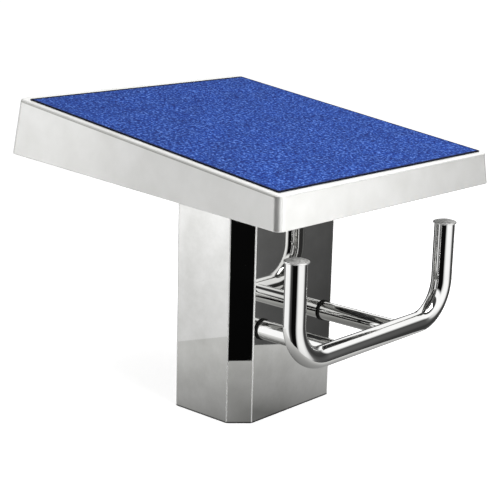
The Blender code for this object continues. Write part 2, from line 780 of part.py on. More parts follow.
def grip_fixing(word, x):
    """What joins an arm to the column: ring, threaded plug in the tube, washer and bolt from inside."""
    ring_far = COLUMN_FRONT_Y - GAP
    arm_root = COLUMN_FRONT_Y - RING_THICKNESS - 2 * GAP
    profile = (
        (RING_RADIUS, 0.0),
        (RING_RADIUS, RING_THICKNESS),
        (RING_BORE, RING_THICKNESS),
        (RING_BORE, 0.0),
    )
    ring = turned(f"grip_gasket_{word}", profile, "black_rubber", sides=TUBE_SIDES, bored=True)
    stand(ring, (x, ring_far, ARM_Z), "-Y")
    outer = ARM_RADIUS - ARM_WALL - GAP
    profile = (
        (outer, 0.0),
        (outer, PLUG_LENGTH),
        (M12[0] + GAP, PLUG_LENGTH),
        (M12[0] + GAP, 0.0),
    )
    plug = turned(f"arm_plug_{word}", profile, "satin_steel", sides=TUBE_SIDES, bored=True)
    stand(plug, (x, arm_root, ARM_Z), "-Y")
    washer_near = COLUMN_FRONT_Y + COLUMN_WALL + BACKING_THICKNESS + 2 * GAP
    profile = (
        (M12_WASHER_RADIUS, 0.0),
        (M12_WASHER_RADIUS, M12_WASHER_THICKNESS),
        (M12[0] + GAP, M12_WASHER_THICKNESS),
        (M12[0] + GAP, 0.0),
    )
    washer = turned(f"grip_washer_{word}", profile, "zinc_steel", bored=True)
    stand(washer, (x, washer_near, ARM_Z), "+Y")
    head_seat = washer_near + M12_WASHER_THICKNESS + GAP
    bolt_length = head_seat - arm_root + PLUG_LENGTH - THREAD_END_CLEARANCE
    bolt = hex_bolt(f"grip_bolt_{word}", M12, bolt_length)
    stand(bolt, (x, head_seat, ARM_Z), "-Y")


def backing_plate():
    """Stiffener behind the front wall, that spreads the pull of both arms."""
    near = COLUMN_FRONT_Y + COLUMN_WALL + GAP
    far = near + BACKING_THICKNESS
    half_x = BACKING_WIDTH / 2
    half_z = BACKING_HEIGHT / 2
    bottom = ARM_Z - half_z
    top = ARM_Z + half_z
    outline = rectangle(-half_x, half_x, bottom, top, BACKING_CORNER_RADIUS, SMALL_CORNER_STEPS)
    rings = [[(x, y, z) for x, z in outline] for y in (near, far)]
    made = lofted("grip_backing_plate", rings, "satin_steel")
    holes_along_y(made, grip_bolt_places(), M12[0] + GAP, near, far)
    return made


def backstroke_grip():
    grip_bar()
    backing_plate()
    for word, side in (("left", -1), ("right", 1)):
        grip_arm(f"grip_arm_{word}", side * ARM_SPREAD / 2)
        end_cap(f"end_cap_{word}", side * GRIP_SPREAD / 2)
        grip_fixing(word, side * ARM_SPREAD / 2)


def platform():
    slope = empty("platform_slope", (0.0, FRONT_EDGE_Y, FRONT_EDGE_Z), PLATFORM_SLOPE)
    platform_shell(slope)
    antislip_pad(slope)
    core_panel(slope)
    sub_frame(slope)
    head_plate(slope)
    platform_fasteners(slope)


def column():
    column_shell()
    base_plate()
    access_cover()


clear_scene()
platform()
column()
backstroke_grip()
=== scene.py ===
"""Looks of the pool starting block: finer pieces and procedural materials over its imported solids.

Metres, +Z up, the pool side is -Y. The platform's pieces are drawn in the plane of its slope: x
across, u up the slope from the front edge, n square to the standing surface.
"""

import json
import math

import bmesh
import bpy
from mathutils import Matrix, Vector


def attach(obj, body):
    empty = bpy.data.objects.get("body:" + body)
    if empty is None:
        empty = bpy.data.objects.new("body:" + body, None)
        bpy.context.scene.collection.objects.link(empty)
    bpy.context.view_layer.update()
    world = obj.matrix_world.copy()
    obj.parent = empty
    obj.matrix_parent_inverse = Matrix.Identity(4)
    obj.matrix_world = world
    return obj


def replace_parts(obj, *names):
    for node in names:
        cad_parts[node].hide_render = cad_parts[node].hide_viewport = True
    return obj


# Camera, fitted to the photograph
CAMERA_LOCATION = (-1.54863, -1.34700, 0.76098)
CAMERA_AZIMUTH = math.radians(-48.4626)
CAMERA_ELEVATION = math.radians(14.1017)
CAMERA_ROLL = math.radians(1.4616)
CAMERA_LENS = 96.802
CAMERA_SENSOR = 36.0

# Platform, as in the solids
PLATFORM_WIDTH = 0.500
PLATFORM_LENGTH = 0.538
PLATFORM_SLOPE = math.radians(7.5)
FRONT_EDGE_Y = -0.2454
FRONT_EDGE_Z = 0.4024
SHELL_WALL = 0.004
SHELL_EDGE_RADIUS = 0.0035
SKIRT_DEPTH_FRONT = 0.0443
SKIRT_DEPTH_REAR = 0.0842
SKIRT_FLARE_SIDE_FRONT = 0.0040
SKIRT_FLARE_SIDE_REAR = 0.0077
SKIRT_FLARE_FRONT = 0.0094
SKIRT_FLARE_REAR = 0.0005
SKIRT_RIM_RADIUS = 0.0015
PAD_THICKNESS = 0.0015
PAD_BORDER_SIDE = 0.009
PAD_BORDER_FRONT = 0.010
PAD_BORDER_REAR = 0.0175
PAD_CORNER_RADIUS = 0.003
PAD_EDGE_BEVEL = 0.0005
GAP = 0.0003

# Moulding's roundings, larger than in the solids: its upright corners, and how far its edge drops
SHELL_CORNER_RADIUS = 0.012
SHELL_EDGE_DROP = 0.0062

# Dark line round the pad: its width at the front and sides and at the rear, and its blur in widths
PAD_LINE = 0.0036
PAD_LINE_REAR = 0.0065
PAD_LINE_BLUR = 0.22

# Column, as in the solids
COLUMN_WIDTH = 0.240
COLUMN_DEPTH = 0.138
COLUMN_CHAMFER = 0.0274
COLUMN_WALL = 0.003
COLUMN_BEND_RADIUS = 0.0045
COLUMN_BEND_RADIUS_INSIDE = 0.0008
COLUMN_TOP_LEVEL = -0.0497

# Grip, as in the solids
TUBE_RADIUS = 0.016
TUBE_WALL = 0.002
GRIP_Y = -0.2194
GRIP_Z = 0.1508
GRIP_SPREAD = 0.359
GRIP_BEND_RADIUS = 0.062
GRIP_TOP_Z = 0.3058
ARM_SPREAD = 0.147
ARM_RADIUS = 0.0146
ARM_Z = 0.1475
ARM_WALL = 0.002
CAP_LIP = 0.0022
CAP_LIP_HEIGHT = 0.0022
CAP_CROWN = 0.0036
CAP_CHAMFER = 0.0006
CAP_SPIGOT = 0.012
RING_RADIUS = 0.0165
RING_BORE = 0.0100
RING_THICKNESS = 0.0025

# Rounding of the rings' edges, which isn't in the solids
RING_ROUND_OFF = 0.0007

# Facets of the finer pieces, and the radii of the caps' crowned tops as shares of the lip's
TUBE_SIDES = 96
BEND_STEPS = 32
CORNER_STEPS = 14
PAD_CORNER_STEPS = 6
COLUMN_BEND_STEPS = 8
EDGE_STEPS = 8
SMALL_STEPS = 4
CAP_CROWN_SHARES = (0.985, 0.95, 0.85, 0.70, 0.50, 0.30, 0.12)

# Edges where the surface turns by more than this stay sharp
SHARP_ANGLE = math.radians(35.0)

# Painted shade line on the moulding's sides, under the rounded edge: the levels where it starts, is
# full, fades and is gone
EDGE_SHADE_LEVELS = (-0.0021, -0.0009, 0.0007, 0.0019)

# Painted shade: the column is darker towards the foot, standing in for its darker reflections there: the
# heights between which it changes, and its shades there
COLUMN_FOOT_SHADE_HEIGHTS = (0.11, 0.39)
COLUMN_FOOT_SHADE_LEVELS = (0.74, 1.06)

# Painted contact shadow where the column meets the deck: the heights it fades over, and its shade
COLUMN_CONTACT_SHADOW_HEIGHTS = (0.0012, 0.0030)
COLUMN_CONTACT_SHADOW_SHADE = 0.12

# Colours, mostly as a pair of the darker and the paler parts of a surface
WHITE = ((0.815, 0.815, 0.793), (0.905, 0.905, 0.890))
# Painted shade: the grey of the line under the moulding's side edges
EDGE_SHADE_GREY = (0.44, 0.44, 0.42)
GRIT_STOPS = (
    (0.34, (0.0015, 0.010, 0.110)),
    (0.45, (0.005, 0.028, 0.190)),
    (0.56, (0.015, 0.060, 0.295)),
    (0.67, (0.098, 0.198, 0.560)),
)
GRIT_EDGE = (0.0008, 0.002, 0.014)
POLISHED = ((0.93, 0.93, 0.92), (0.98, 0.98, 0.97))
COLUMN_SHEET = ((0.775, 0.775, 0.757), (0.93, 0.93, 0.918))
# Painted highlight: the pale colour of the column's dull bends
COLUMN_BEND = (0.95, 0.95, 0.93)
CAP_TOP = ((0.38, 0.38, 0.37), (0.84, 0.84, 0.82))
CAP_LIP_GREY = (0.90, 0.90, 0.89)
SATIN = ((0.42, 0.42, 0.41), (0.62, 0.62, 0.61))
ZINC = ((0.46, 0.47, 0.48), (0.60, 0.61, 0.62))
RUBBER = ((0.004, 0.004, 0.004), (0.014, 0.014, 0.013))
# Near black: the laminate's own dark, darkened further as painted shade under the platform
LAMINATE_AND_SHADE = ((0.024, 0.024, 0.026), (0.040, 0.040, 0.042))
FLOOR_PAINT = (0.85, 0.85, 0.85)
PLAIN_WHITE = (1.0, 1.0, 1.0)

# What mirrors show, by azimuth in degrees from -Y towards +X, up to the top of a band
SEEN_ROUND = (
    (-180.0, 0.03),
    (-178.0, 0.03),
    (-176.0, 1.0),
    (-117.0, 1.0),
    (-112.0, 0.65),
    (-104.0, 0.20),
    (-96.0, 0.045),
    (-84.0, 0.045),
    (-82.0, 0.003),
    (-39.5, 0.003),
    (-35.0, 0.22),
    (-31.0, 0.50),
    (-24.0, 0.80),
    (-15.0, 0.98),
    (-8.0, 1.0),
    (22.0, 1.0),
    (34.0, 0.85),
    (42.0, 0.60),
    (46.5, 0.17),
    (49.0, 0.115),
    (52.0, 0.082),
    (60.0, 0.040),
    (76.0, 0.050),
    (90.0, 0.14),
    (110.0, 0.14),
    (122.0, 0.03),
    (180.0, 0.03),
)

# Elevations in degrees where the band ends and the white above it gives way to a dark ceiling
BAND_TOP = (16.0, 28.0)
CEILING_EDGE = (44.0, 49.0)
CEILING_SHADE = 0.05

# Two azimuths, and what is added to the elevation between them, in degrees: the band's top lies 9
# lower there, and the ceiling's edge 20 higher
BAND_LOW = (95.0, 180.0, 9.0)
CEILING_HIGH = (-180.0, -116.0, -20.0)

# The band's foot is a little darker: its elevations and shades
HORIZON_ELEVATIONS = (-20.0, -12.0)
HORIZON_SHADES = (0.90, 1.0)

# Soft light from round about: its strength, its shades by azimuth, and the elevations between which
# it turns white
FILL = 0.50
FILL_ROUND = (
    (-180.0, 0.40),
    (-130.0, 0.20),
    (-110.0, 0.20),
    (-40.0, 0.20),
    (-25.0, 1.0),
    (40.0, 0.90),
    (60.0, 0.50),
    (160.0, 1.0),
)
FILL_ELEVATIONS = (25.0, 60.0)

# The grey patch of floor round the foot that mirrors show: its outline, how high it lies, its
# shades by radius, and how much blue they have beside red and green
PATCH_OUTLINE = (
    (-0.20, 0.367),
    (-0.47, 0.234),
    (-0.40, -0.10),
    (-0.345, -0.225),
    (-0.265, -0.315),
    (-0.10, -0.36),
    (0.16, -0.347),
    (0.30, -0.24),
    (0.42, 0.0),
    (0.35, 0.40),
)
PATCH_HEIGHT = 0.001
PATCH_SHADES = ((0.08, 0.18), (0.20, 0.33), (0.42, 0.58))
PATCH_BLUE_SHARE = 0.98

# The patch is lighter along one line through its middle: the line, the cosines of the angle to it
# between which the light grows, and how much is added on the line
PATCH_BRIGHT_LINE = (-0.77, 0.64, 0.0)
PATCH_BRIGHT_COSINES = (0.2, 1.0)
PATCH_LIFT = 0.17

# Floor: the glow that lifts its paint to white, and how far it goes from the middle
FLOOR_GLOW = 0.72
FLOOR_REACH = 30.0

# Lamps: place, point aimed at, width, height, radiance, and whether mirrors show them
LAMPS = {
    "front": ((-0.29, -0.85, 0.55), (-0.45, -0.24, 0.38), 0.2, 0.4, 15.5, False),
    "left": ((-0.80, 0.95, 0.50), (-0.25, 0.20, 0.38), 0.5, 0.5, 0.82, True),
    "top": ((0.30, -0.35, 1.9), (0.0, 0.0, 0.4), 1.2, 1.2, 6.0, True),
}

# Pairs of ends used often: a whole share, the same falling, and the middle of a noise's values
SHARE = (0.0, 1.0)
FALLING = (1.0, 0.0)
MIDDLE = (0.3, 0.7)

# Sockets of a Mix node that mixes colours: its factor and the two colours, and what comes out
MIX_INPUTS = (0, 6, 7)
MIX_OUTPUT = 2


def filleted(corners, radius, steps=CORNER_STEPS):
    """A counter-clockwise outline with each corner turned on the same radius."""
    outline = []
    for i, (x, y) in enumerate(corners):
        before = corners[i - 1]
        after = corners[(i + 1) % len(corners)]
        heading_in = math.atan2(y - before[1], x - before[0])
        heading_out = math.atan2(after[1] - y, after[0] - x)
        turn = (heading_out - heading_in) % math.tau
        back = radius * math.tan(turn / 2)
        start = (x - back * math.cos(heading_in), y - back * math.sin(heading_in))
        centre = (start[0] - radius * math.sin(heading_in), start[1] + radius * math.cos(heading_in))
        for step in range(steps + 1):
            angle = heading_in - math.pi / 2 + turn * step / steps
            outline.append((centre[0] + radius * math.cos(angle), centre[1] + radius * math.sin(angle)))
    return outline


def rectangle(left, right, front, rear, radius, steps):
    """A rectangle with rounded corners."""
    return filleted(((left, front), (right, front), (right, rear), (left, rear)), radius, steps)


def on_slope(x, u, n):
    """A point of the platform's own axes, in the world."""
    cosine = math.cos(PLATFORM_SLOPE)
    sine = math.sin(PLATFORM_SLOPE)
    return (x, FRONT_EDGE_Y + u * cosine - n * sine, FRONT_EDGE_Z + u * sine + n * cosine)


def piece(name, rings, finish, closed=False, flat_faces=False):
    """A mesh skinned over rings of equally many points, that rides on the body.

    Where it is closed the last ring joins the first, and elsewhere both are filled. Flat faces keep
    rounded edges from bending the shading of the flats beside them.
    """
    shape = bmesh.new()
    rows = [[shape.verts.new(point) for point in ring] for ring in rings]
    count = len(rings[0])
    pairs = list(zip(rows, rows[1:]))
    if closed:
        pairs.append((rows[-1], rows[0]))
    else:
        shape.faces.new(rows[0])
        shape.faces.new(rows[-1])
    for low, high in pairs:
        for i in range(count):
            j = (i + 1) % count
            shape.faces.new((low[i], low[j], high[j], high[i]))
    bmesh.ops.recalc_face_normals(shape, faces=shape.faces)
    mesh = bpy.data.meshes.new(name)
    shape.to_mesh(mesh)
    shape.free()
    mesh.shade_smooth()
    mesh.set_sharp_from_angle(angle=SHARP_ANGLE)
    mesh.materials.append(finish)
    made = bpy.data.objects.new(name, mesh)
    bpy.context.scene.collection.objects.link(made)
    if flat_faces:
        weighted = made.modifiers.new("flat_faces", "WEIGHTED_NORMAL")
        weighted.keep_sharp = True
    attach(made, "root")
    return made


# Materials


class Nodes:
    """A node tree, with short ways to add and join its nodes."""

    def __init__(self, tree):
        self.tree = tree

    def node(self, kind, **settings):
        made = self.tree.nodes.new(kind)
        for key, value in settings.items():
            setattr(made, key, value)
        return made

    def link(self, output, target):
        self.tree.links.new(output, target)

    def feed(self, source, socket):
        """Joins a source to a socket: another socket, or a fixed number, vector or colour."""
        if isinstance(source, bpy.types.NodeSocket):
            self.link(source, socket)
        elif isinstance(source, tuple) and len(socket.default_value) == 4:
            socket.default_value = (*source, 1.0)
        else:
            socket.default_value = source

    def math(self, operation, first, second=0.0):
        made = self.node("ShaderNodeMath", operation=operation)
        self.feed(first, made.inputs[0])
        self.feed(second, made.inputs[1])
        return made.outputs[0]

    def vector(self, operation, first, second=(0.0, 0.0, 0.0)):
        made = self.node("ShaderNodeVectorMath", operation=operation)
        self.feed(first, made.inputs[0])
        self.feed(second, made.inputs[1])
        return made.outputs["Value" if operation in ("LENGTH", "DOT_PRODUCT") else "Vector"]

    def split(self, vector):
        """The three parts of a vector."""
        made = self.node("ShaderNodeSeparateXYZ")
        self.link(vector, made.inputs[0])
        return made.outputs

    def ranged(self, value, before, after, smooth=False):
        """A value mapped from one pair of ends to another, and held there."""
        made = self.node("ShaderNodeMapRange", interpolation_type="SMOOTHSTEP" if smooth else "LINEAR")
        for end, name in zip((*before, *after), ("From Min", "From Max", "To Min", "To Max")):
            made.inputs[name].default_value = end
        self.link(value, made.inputs["Value"])
        return made.outputs["Result"]

    def ramp(self, value, stops):
        """A colour ramp through (place, (r, g, b)) stops."""
        made = self.node("ShaderNodeValToRGB")
        elements = made.color_ramp.elements
        for place, _ in stops[1:-1]:
            elements.new(place)
        for element, (place, colour) in zip(elements, stops):
            element.position = place
            element.color = (*colour, 1.0)
        self.link(value, made.inputs["Fac"])
        return made.outputs["Color"]

    def between(self, value, colours, places=MIDDLE):
        """A blend of two colours, as a value goes from one place to another."""
        return self.ramp(value, tuple(zip(places, colours)))

    def mixed(self, factor, first, second, blend="MIX"):
        made = self.node("ShaderNodeMix", data_type="RGBA", blend_type=blend)
        for source, place in zip((factor, first, second), MIX_INPUTS):
            self.feed(source, made.inputs[place])
        return made.outputs[MIX_OUTPUT]

    def mixed_shader(self, factor, first, second):
        made = self.node("ShaderNodeMixShader")
        for source, socket in zip((factor, first, second), made.inputs):
            self.feed(source, socket)
        return made.outputs[0]

    def background(self, colour, strength):
        made = self.node("ShaderNodeBackground")
        self.feed(colour, made.inputs["Color"])
        made.inputs["Strength"].default_value = strength
        return made.outputs[0]

    def glow(self, colour, strength):
        made = self.node("ShaderNodeEmission")
        self.feed(colour, made.inputs["Color"])
        made.inputs["Strength"].default_value = strength
        return made.outputs[0]


class Finish(Nodes):
    """The node material of a surface of the object."""

    def __init__(self, name):
        self.material = bpy.data.materials.new(name)
        self.material.use_nodes = True
        super().__init__(self.material.node_tree)
        self.shader = self.tree.nodes["Principled BSDF"]
        self.place = self.node("ShaderNodeTexCoord").outputs["Object"]

    def set(self, **values):
        for key, value in values.items():
            self.shader.inputs[key.replace("_", " ")].default_value = value

    def stretched(self, scale):
        """The object's coordinates, scaled by axis."""
        mapping = self.node("ShaderNodeMapping")
        mapping.inputs["Scale"].default_value = scale
        self.link(self.place, mapping.inputs["Vector"])
        return mapping.outputs["Vector"]

    def noise(self, scale, detail=3.0, roughness=0.5, vector=None):
        made = self.node("ShaderNodeTexNoise")
        made.inputs["Scale"].default_value = scale
        made.inputs["Detail"].default_value = detail
        made.inputs["Roughness"].default_value = roughness
        self.link(vector or self.place, made.inputs["Vector"])
        return made.outputs["Fac"]

    def bump(self, height, distance, under=None):
        made = self.node("ShaderNodeBump")
        made.inputs["Distance"].default_value = distance
        self.link(height, made.inputs["Height"])
        if under:
            self.link(under, made.inputs["Normal"])
        return made.outputs["Normal"]

    def use(self, colour, normal, roughness=None, metallic=None):
        """Joins what varies over the surface to the shader, and gives the material."""
        sources = {"Base Color": colour, "Normal": normal, "Roughness": roughness, "Metallic": metallic}
        for name, source in sources.items():
            if source:
                self.link(source, self.shader.inputs[name])
        return self.material


def facing(finish):
    """The surface normal's three parts."""
    return finish.split(finish.node("ShaderNodeNewGeometry").outputs["Normal"])


def turned(finish):
    """The sizes of the surface normal's three parts."""
    return [finish.math("ABSOLUTE", part) for part in facing(finish)]


def slope_place(finish):
    """A point's place on the platform's own axes: across, up the slope, and out of the surface."""
    across, _, _ = finish.split(finish.place)
    place = finish.vector("SUBTRACT", finish.place, on_slope(0.0, 0.0, 0.0))
    up_slope = (0.0, math.cos(PLATFORM_SLOPE), math.sin(PLATFORM_SLOPE))
    outward = (0.0, -math.sin(PLATFORM_SLOPE), math.cos(PLATFORM_SLOPE))
    along = finish.vector("DOT_PRODUCT", place, up_slope)
    return across, along, finish.vector("DOT_PRODUCT", place, outward)


def edge_shade_share(finish, sideways):
    """1 on the painted shade line along the moulding's sides, 0 away from it."""
    start, full, fade, gone = EDGE_SHADE_LEVELS
    _, _, out = slope_place(finish)
    line = finish.math(
        "MULTIPLY",
        finish.ranged(out, (start, full), SHARE, smooth=True),
        finish.ranged(out, (fade, gone), FALLING, smooth=True),
    )
    return finish.math("MULTIPLY", line, finish.ranged(sideways, (0.84, 0.92), SHARE))


def white_moulding():
    """Glossy white moulding: soft clouds, a painted shade line along the sides, and rougher corners that
    mirror more.
    """
    finish = Finish("white_moulding")
    x, y, z = turned(finish)
    # A corner faces sideways, and neither straight along x nor straight along y
    upright = finish.ranged(z, (0.25, 0.45), FALLING, smooth=True)
    rounded = finish.ranged(finish.math("MAXIMUM", x, y), (0.93, 0.985), FALLING, smooth=True)
    corner = finish.math("MULTIPLY", upright, rounded)
    clouds = finish.noise(scale=16.0, detail=4.0, roughness=0.55)
    clouded = finish.between(clouds, WHITE, (0.32, 0.68))
    handled = finish.ranged(finish.noise(scale=12.0, detail=2.0), (0.15, 0.85), (0.215, 0.268))
    return finish.use(
        # Painted shade: the grey line under the side edges
        colour=finish.mixed(edge_shade_share(finish, x), clouded, EDGE_SHADE_GREY),
        roughness=finish.math("MULTIPLY", handled, finish.ranged(corner, SHARE, (1.0, 1.5))),
        metallic=finish.ranged(corner, SHARE, (0.30, 0.85)),
        normal=finish.bump(finish.noise(scale=120.0, detail=1.0), distance=0.000002),
    )


def pad_edge_distance(finish):
    """How far in from the pad's nearest edge a point lies, in widths of the dark line there."""
    across, along, _ = slope_place(finish)
    side = finish.math("SUBTRACT", PLATFORM_WIDTH / 2 - PAD_BORDER_SIDE, finish.math("ABSOLUTE", across))
    front = finish.math("SUBTRACT", along, PAD_BORDER_FRONT)
    rear = finish.math("SUBTRACT", PLATFORM_LENGTH - PAD_BORDER_REAR, along)
    ends = finish.math("MINIMUM", front, finish.math("DIVIDE", rear, PAD_LINE_REAR / PAD_LINE))
    return finish.math("DIVIDE", finish.math("MINIMUM", side, ends), PAD_LINE)


def blue_grit():
    """Anti-slip grit: pale granules over a darker blue bed, and a dark line round the edge."""
    finish = Finish("blue_grit")
    finish.set(Specular_IOR_Level=0.12, Roughness=0.75)
    grain = finish.noise(scale=270.0, detail=2.0, roughness=0.55)
    patches = finish.ranged(finish.noise(scale=22.0, detail=4.0, roughness=0.6), MIDDLE, (0.88, 1.14))
    shaded = finish.mixed(1.0, finish.ramp(grain, GRIT_STOPS), patches, "MULTIPLY")
    line_edge = (1.0 - PAD_LINE_BLUR, 1.0 + PAD_LINE_BLUR)
    line = finish.ranged(pad_edge_distance(finish), line_edge, FALLING)
    return finish.use(
        colour=finish.mixed(line, shaded, GRIT_EDGE),
        normal=finish.bump(grain, distance=0.0008),
    )


def polished_steel():
    """Polished tube: close to a mirror, with faint polishing marks, and darker underneath as painted
    shade.
    """
    finish = Finish("polished_steel")
    finish.set(Metallic=1.0)
    patches = finish.between(finish.noise(scale=25.0, detail=4.0), POLISHED)
    _, _, upward = facing(finish)
    # Painted shade: darker where the tube faces down
    underside_shade = finish.ranged(upward, (-0.60, -0.15), (0.62, 1.0), smooth=True)
    smears = finish.noise(scale=60.0, detail=5.0, roughness=0.6)
    marks = finish.noise(scale=260.0, detail=2.0, vector=finish.stretched((1.0, 1.0, 0.25)))
    return finish.use(
        colour=finish.mixed(1.0, patches, underside_shade, "MULTIPLY"),
        roughness=finish.ranged(smears, MIDDLE, (0.015, 0.04)),
        normal=finish.bump(marks, distance=0.0000007),
    )


def bend_share(finish):
    """0 on the column's flat sides and cut corners, 1 along the bends between them."""
    x, y, _ = turned(finish)
    # The product is 0 on the flat sides and 0.5 on the cut corners
    product = finish.math("MULTIPLY", x, y)
    rising = finish.ranged(product, (0.06, 0.16), SHARE, smooth=True)
    falling = finish.ranged(product, (0.43, 0.48), FALLING, smooth=True)
    return finish.math("MULTIPLY", rising, falling)


def column_steel():
    """Polished sheet: brushed upright, softly clouded, painted shade to the foot, dull bends with a
    painted highlight.
    """
    finish = Finish("column_steel")
    _, _, height = finish.split(finish.place)
    bend = bend_share(finish)
    clouds = finish.noise(scale=16.0, detail=5.0, roughness=0.6)
    colour = finish.between(clouds, COLUMN_SHEET, (0.32, 0.68))
    # Painted shade: darker towards the foot
    foot_shade = finish.ranged(height, COLUMN_FOOT_SHADE_HEIGHTS, COLUMN_FOOT_SHADE_LEVELS, smooth=True)
    colour = finish.mixed(1.0, colour, foot_shade, "MULTIPLY")
    # Painted highlight: the bends are painted pale, to show as bright lines
    colour = finish.mixed(bend, colour, COLUMN_BEND)
    # Painted contact shadow: a dark line along the foot
    contact_shadow = finish.ranged(height, COLUMN_CONTACT_SHADOW_HEIGHTS, (COLUMN_CONTACT_SHADOW_SHADE, 1.0))
    flats = finish.ranged(finish.noise(scale=30.0, detail=5.0, roughness=0.6), MIDDLE, (0.01, 0.03))
    waves = finish.bump(finish.noise(scale=9.0, detail=1.0), distance=0.00004)
    brushing = finish.noise(scale=500.0, detail=2.0, vector=finish.stretched((1.0, 1.0, 0.03)))
    return finish.use(
        colour=finish.mixed(1.0, colour, contact_shadow, "MULTIPLY"),
        roughness=finish.math("ADD", flats, finish.math("MULTIPLY", bend, 0.45)),
        metallic=finish.ranged(bend, SHARE, (1.0, 0.25)),
        normal=finish.bump(brushing, distance=0.0000012, under=waves),
    )


def cap_steel():
    """Bead-blasted caps: pale grey and mottled on top, shinier round the lip."""
    finish = Finish("cap_steel")
    mottled = finish.noise(scale=260.0, detail=5.0, roughness=0.7)
    _, _, z = turned(finish)
    top = finish.ranged(z, (0.5, 0.9), SHARE, smooth=True)
    grain = finish.ranged(finish.noise(scale=120.0, detail=4.0), MIDDLE, (0.32, 0.48))
    return finish.use(
        colour=finish.mixed(top, CAP_LIP_GREY, finish.between(mottled, CAP_TOP, (0.38, 0.62))),
        roughness=finish.math("MULTIPLY", grain, finish.ranged(top, SHARE, (0.45, 1.0))),
        metallic=finish.ranged(top, SHARE, (0.70, 0.15)),
        normal=finish.bump(mottled, distance=0.00005),
    )


def satin_steel():
    """Mill-finish steel: mottled, with fine scratches."""
    finish = Finish("satin_steel")
    finish.set(Metallic=1.0)
    drawn_out = finish.stretched((0.1, 1.0, 1.0))
    scratches = finish.noise(scale=600.0, detail=3.0, roughness=0.6, vector=drawn_out)
    return finish.use(
        colour=finish.between(finish.noise(scale=120.0, detail=5.0, roughness=0.65), SATIN),
        roughness=finish.ranged(finish.noise(scale=80.0, detail=4.0), MIDDLE, (0.28, 0.42)),
        normal=finish.bump(scratches, distance=0.00003),
    )


def zinc_steel():
    """Zinc-plated fasteners: fine bluish grey mottling."""
    finish = Finish("zinc_steel")
    finish.set(Metallic=1.0)
    return finish.use(
        colour=finish.between(finish.noise(scale=240.0, detail=4.0), ZINC),
        roughness=finish.ranged(finish.noise(scale=150.0, detail=4.0), MIDDLE, (0.29, 0.42)),
        normal=finish.bump(finish.noise(scale=900.0), distance=0.00002),
    )


def black_rubber():
    """Matt black rubber with a fine grain."""
    finish = Finish("black_rubber")
    finish.set(Specular_IOR_Level=0.15)
    return finish.use(
        colour=finish.between(finish.noise(scale=150.0, detail=4.0), RUBBER),
        roughness=finish.ranged(finish.noise(scale=200.0), MIDDLE, (0.5, 0.7)),
        normal=finish.bump(finish.noise(scale=700.0), distance=0.00008),
    )


def laminate():
    """Dark glass-fibre skin of the panel under the platform, darkened further as painted shade: the
    cloth shows faintly.
    """
    finish = Finish("laminate")
    woven = finish.stretched((3.0, 0.3, 3.0))
    cloth = finish.noise(scale=160.0, detail=4.0, roughness=0.6, vector=woven)
    return finish.use(
        colour=finish.between(cloth, LAMINATE_AND_SHADE),
        roughness=finish.ranged(cloth, MIDDLE, (0.45, 0.62)),
        normal=finish.bump(cloth, distance=0.0002),
    )


# Platform


def skirt_depth(along):
    """How far down the skirt goes, at a distance up the slope."""
    run = PLATFORM_LENGTH + SKIRT_FLARE_FRONT + SKIRT_FLARE_REAR
    share = (along + SKIRT_FLARE_FRONT) / run
    return SKIRT_DEPTH_FRONT + share * (SKIRT_DEPTH_REAR - SKIRT_DEPTH_FRONT)


def shell_outline(inset, flare=0.0):
    """The moulding's outline, drawn in by an inset and spread by a share of the skirt's flare."""
    half = PLATFORM_WIDTH / 2 - inset
    half_front = half + flare * SKIRT_FLARE_SIDE_FRONT
    half_rear = half + flare * SKIRT_FLARE_SIDE_REAR
    front = inset - flare * SKIRT_FLARE_FRONT
    rear = PLATFORM_LENGTH - inset + flare * SKIRT_FLARE_REAR
    corners = ((-half_front, front), (half_front, front), (half_rear, rear), (-half_rear, rear))
    return filleted(corners, SHELL_CORNER_RADIUS - inset)


def level_ring(outline, n):
    """An outline set at one level over the slope."""
    return [on_slope(x, u, n) for x, u in outline]


def rim_ring(inset, lift):
    """The moulding's outline along the skirt's lower edge, a little above it."""
    return [on_slope(x, u, lift - skirt_depth(u)) for x, u in shell_outline(inset, 1.0)]


def platform_shell(finish):
    """The moulding, from its ceiling down the inside, round the rim, and up over the edge."""
    rings = [
        level_ring(shell_outline(SHELL_WALL), SHELL_EDGE_RADIUS - SHELL_WALL),
        rim_ring(SHELL_WALL, 0.0),
    ]
    for step in range(SMALL_STEPS + 1):
        angle = math.pi / 2 * step / SMALL_STEPS
        inset = SKIRT_RIM_RADIUS * (1 - math.sin(angle))
        lift = SKIRT_RIM_RADIUS * (1 - math.cos(angle))
        rings.append(rim_ring(inset, lift))
    for step in range(EDGE_STEPS + 1):
        angle = math.pi / 2 * step / EDGE_STEPS
        inset = SHELL_EDGE_RADIUS * (1 - math.cos(angle))
        height = SHELL_EDGE_RADIUS - SHELL_EDGE_DROP * (1 - math.sin(angle))
        rings.append(level_ring(shell_outline(inset), height))
    made = piece("tray", rings, finish, flat_faces=True)
    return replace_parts(made, "platform_shell")


def pad_outline(inset):
    half = PLATFORM_WIDTH / 2 - PAD_BORDER_SIDE - inset
    rear = PLATFORM_LENGTH - PAD_BORDER_REAR - inset
    radius = PAD_CORNER_RADIUS - inset
    return rectangle(-half, half, PAD_BORDER_FRONT + inset, rear, radius, PAD_CORNER_STEPS)


def antislip_pad(finish):
    """The grit sheet, just clear of the moulding, with a bevelled edge."""
    bottom = SHELL_EDGE_RADIUS + GAP
    top = bottom + PAD_THICKNESS
    rings = [
        level_ring(pad_outline(0.0), bottom),
        level_ring(pad_outline(0.0), top - PAD_EDGE_BEVEL),
        level_ring(pad_outline(PAD_EDGE_BEVEL), top),
    ]
    made = piece("grit_sheet", rings, finish, flat_faces=True)
    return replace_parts(made, "antislip_pad")


# Column


